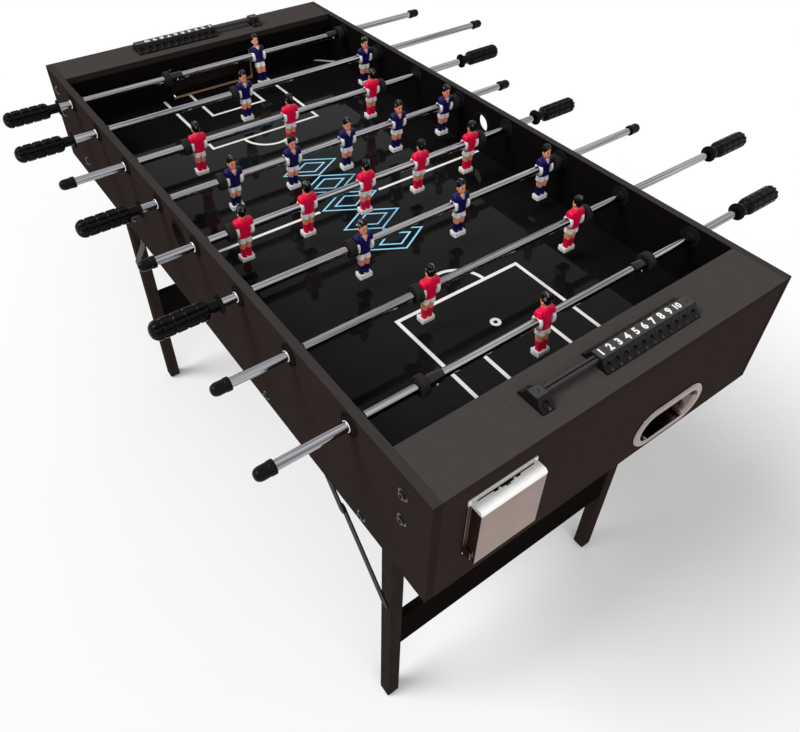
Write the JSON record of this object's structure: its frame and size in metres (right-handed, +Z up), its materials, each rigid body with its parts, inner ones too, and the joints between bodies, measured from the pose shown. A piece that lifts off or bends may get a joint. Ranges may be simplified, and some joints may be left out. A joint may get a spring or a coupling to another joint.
{
  "type": "foosball table",
  "caption": "Free-standing foosball table with a black cabinet, sliding and spinning player rods, ball returns, score counters, a tip-out ashtray and folding legs.",
  "frame": {"origin": "on the floor, under the middle of the cabinet", "axes": "+X along the rods to the right, +Y along the table to the far end, +Z up; the near end with the ashtray faces -Y"},
  "size_m": [1.0573, 1.2375, 0.8257],
  "materials": {
    "laminate": "dark satin laminate on fibreboard",
    "field_board": "gloss black printed board",
    "inner_wood": "raw wood and fibreboard",
    "leg_wood": "black satin paint",
    "rod_chrome": "polished plated steel",
    "return_chrome": "plated plastic",
    "grip_plastic": "black moulded plastic",
    "bush_plastic": "black moulded plastic",
    "bumper_rubber": "dark grey rubber",
    "navy_figure": "painted moulded plastic, navy",
    "red_figure": "painted moulded plastic, red",
    "counter_plastic": "black moulded plastic",
    "bead_plastic": "black moulded plastic with white numbers",
    "ashtray_metal": "bright pressed steel",
    "brace_steel": "black painted steel strip",
    "bolt_steel": "blackened steel"
  },
  "bodies": {
    "cabinet": {"ashtray_plate": "ashtray_metal", "ball_entry_rings": "bush_plastic", "ball_return_cups": "return_chrome", "ball_troughs": "inner_wood", "counter_rails": "counter_plastic", "end_ledges": "laminate", "end_panel_far": "laminate", "end_panel_near": "laminate", "field_battens": "inner_wood", "goal_walls": "laminate", "pivot_bolts": "bolt_steel", "playfield": "field_board", "rod_bushes": "bush_plastic", "rod_flange_plates": "bush_plastic", "side_panel_left": "laminate", "side_panel_right": "laminate", "wood_blocks": "inner_wood"},
    "rod_1_bumper_pair": {"rod_1_bumpers": "bumper_rubber"},
    "rod_1": {"rod_1_bar": "rod_chrome", "rod_1_men": "navy_figure", "rod_1_grip_and_tip": "grip_plastic", "rod_1_stop_collars": "bush_plastic"},
    "rod_2_bumper_pair": {"rod_2_bumpers": "bumper_rubber"},
    "rod_2": {"rod_2_bar": "rod_chrome", "rod_2_men": "navy_figure", "rod_2_grip_and_tip": "grip_plastic"},
    "rod_3_bumper_pair": {"rod_3_bumpers": "bumper_rubber"},
    "rod_3": {"rod_3_bar": "rod_chrome", "rod_3_men": "red_figure", "rod_3_grip_and_tip": "grip_plastic"},
    "rod_4_bumper_pair": {"rod_4_bumpers": "bumper_rubber"},
    "rod_4": {"rod_4_bar": "rod_chrome", "rod_4_men": "navy_figure", "rod_4_grip_and_tip": "grip_plastic"},
    "rod_5_bumper_pair": {"rod_5_bumpers": "bumper_rubber"},
    "rod_5": {"rod_5_bar": "rod_chrome", "rod_5_men": "red_figure", "rod_5_grip_and_tip": "grip_plastic"},
    "rod_6_bumper_pair": {"rod_6_bumpers": "bumper_rubber"},
    "rod_6": {"rod_6_bar": "rod_chrome", "rod_6_men": "navy_figure", "rod_6_grip_and_tip": "grip_plastic"},
    "rod_7_bumper_pair": {"rod_7_bumpers": "bumper_rubber"},
    "rod_7": {"rod_7_bar": "rod_chrome", "rod_7_men": "red_figure", "rod_7_grip_and_tip": "grip_plastic"},
    "rod_8_bumper_pair": {"rod_8_bumpers": "bumper_rubber"},
    "rod_8": {"rod_8_bar": "rod_chrome", "rod_8_men": "red_figure", "rod_8_grip_and_tip": "grip_plastic", "rod_8_stop_collars": "bush_plastic"},
    "near_counter": {"near_counter_beads": "bead_plastic"},
    "far_counter": {"far_counter_beads": "bead_plastic"},
    "ashtray": {"ashtray_box": "ashtray_metal"},
    "near_legs": {"near_leg_frame": "leg_wood"},
    "near_upper_braces": {"near_upper_links": "brace_steel"},
    "near_lower_braces": {"near_lower_links": "brace_steel"},
    "far_legs": {"far_leg_frame": "leg_wood"},
    "far_upper_braces": {"far_upper_links": "brace_steel"},
    "far_lower_braces": {"far_lower_links": "brace_steel"}
  },
  "joints": [
    {"name": "rod_1_slide", "type": "slide", "parent": "cabinet", "child": "rod_1_bumper_pair", "axis": [1, 0, 0], "range_m": [-0.15867, 0.0008]},
    {"name": "rod_1_spin", "type": "hinge", "parent": "rod_1_bumper_pair", "child": "rod_1", "pos_m": [0.07894, 0.46025, 0.783], "axis": [1, 0, 0], "continuous": true},
    {"name": "rod_2_slide", "type": "slide", "parent": "cabinet", "child": "rod_2_bumper_pair", "axis": [1, 0, 0], "range_m": [-0.23721, 0.00119]},
    {"name": "rod_2_spin", "type": "hinge", "parent": "rod_2_bumper_pair", "child": "rod_2", "pos_m": [0.11801, 0.32875, 0.783], "axis": [1, 0, 0], "continuous": true},
    {"name": "rod_3_slide", "type": "slide", "parent": "cabinet", "child": "rod_3_bumper_pair", "axis": [1, 0, 0], "range_m": [-0.0795, 0.07487]},
    {"name": "rod_3_spin", "type": "hinge", "parent": "rod_3_bumper_pair", "child": "rod_3", "pos_m": [0.00232, 0.19725, 0.783], "axis": [1, 0, 0], "continuous": true},
    {"name": "rod_4_slide", "type": "slide", "parent": "cabinet", "child": "rod_4_bumper_pair", "axis": [1, 0, 0], "range_m": [-0.07961, 0.0008]},
    {"name": "rod_4_spin", "type": "hinge", "parent": "rod_4_bumper_pair", "child": "rod_4", "pos_m": [0.0394, 0.06575, 0.783], "axis": [1, 0, 0], "continuous": true},
    {"name": "rod_5_slide", "type": "slide", "parent": "cabinet", "child": "rod_5_bumper_pair", "axis": [1, 0, 0], "range_m": [-0.02895, 0.05147]},
    {"name": "rod_5_spin", "type": "hinge", "parent": "rod_5_bumper_pair", "child": "rod_5", "pos_m": [-0.01126, -0.06575, 0.783], "axis": [1, 0, 0], "continuous": true},
    {"name": "rod_6_slide", "type": "slide", "parent": "cabinet", "child": "rod_6_bumper_pair", "axis": [1, 0, 0], "range_m": [-0.15128, 0.00309]},
    {"name": "rod_6_spin", "type": "hinge", "parent": "rod_6_bumper_pair", "child": "rod_6", "pos_m": [0.0741, -0.19725, 0.783], "axis": [1, 0, 0], "continuous": true},
    {"name": "rod_7_slide", "type": "slide", "parent": "cabinet", "child": "rod_7_bumper_pair", "axis": [1, 0, 0], "range_m": [-0.16807, 0.07033]},
    {"name": "rod_7_spin", "type": "hinge", "parent": "rod_7_bumper_pair", "child": "rod_7", "pos_m": [0.04887, -0.32875, 0.783], "axis": [1, 0, 0], "continuous": true},
    {"name": "rod_8_slide", "type": "slide", "parent": "cabinet", "child": "rod_8_bumper_pair", "axis": [1, 0, 0], "range_m": [-0.07415, 0.08532]},
    {"name": "rod_8_spin", "type": "hinge", "parent": "rod_8_bumper_pair", "child": "rod_8", "pos_m": [-0.00558, -0.46025, 0.783], "axis": [1, 0, 0], "continuous": true},
    {"name": "near_counter_slide", "type": "slide", "parent": "cabinet", "child": "near_counter", "axis": [-1, 0, 0], "range_m": [0, 0.084]},
    {"name": "far_counter_slide", "type": "slide", "parent": "cabinet", "child": "far_counter", "axis": [1, 0, 0], "range_m": [0, 0.084]},
    {"name": "ashtray_tip", "type": "hinge", "parent": "cabinet", "child": "ashtray", "pos_m": [-0.209, -0.6155, 0.683], "axis": [1, 0, 0], "range_deg": [0, 40]},
    {"name": "near_leg_fold", "type": "hinge", "parent": "cabinet", "child": "near_legs", "pos_m": [0, -0.48, 0.626], "axis": [1, 0, 0], "range_deg": [0, 90]},
    {"name": "near_upper_brace", "type": "hinge", "parent": "cabinet", "child": "near_upper_braces", "pos_m": [0, -0.241, 0.626], "axis": [1, 0, 0], "range_deg": [0, 130.69]},
    {"name": "near_lower_brace", "type": "hinge", "parent": "near_legs", "child": "near_lower_braces", "pos_m": [0, -0.48, 0.348], "axis": [1, 0, 0], "range_deg": [-139.32, 0]},
    {"name": "far_leg_fold", "type": "hinge", "parent": "cabinet", "child": "far_legs", "pos_m": [0, 0.48, 0.653], "axis": [-1, 0, 0], "range_deg": [0, 90]},
    {"name": "far_upper_brace", "type": "hinge", "parent": "cabinet", "child": "far_upper_braces", "pos_m": [0, 0.241, 0.653], "axis": [-1, 0, 0], "range_deg": [0, 130.69]},
    {"name": "far_lower_brace", "type": "hinge", "parent": "far_legs", "child": "far_lower_braces", "pos_m": [0, 0.48, 0.375], "axis": [-1, 0, 0], "range_deg": [-139.32, 0]}
  ],
  "couplings": [
    {"joint": "near_upper_brace", "follows": "near_leg_fold", "ratio": 1.4521},
    {"joint": "near_lower_brace", "follows": "near_leg_fold", "ratio": -1.5479},
    {"joint": "far_upper_brace", "follows": "far_leg_fold", "ratio": 1.4521},
    {"joint": "far_lower_brace", "follows": "far_leg_fold", "ratio": -1.5479}
  ]
}
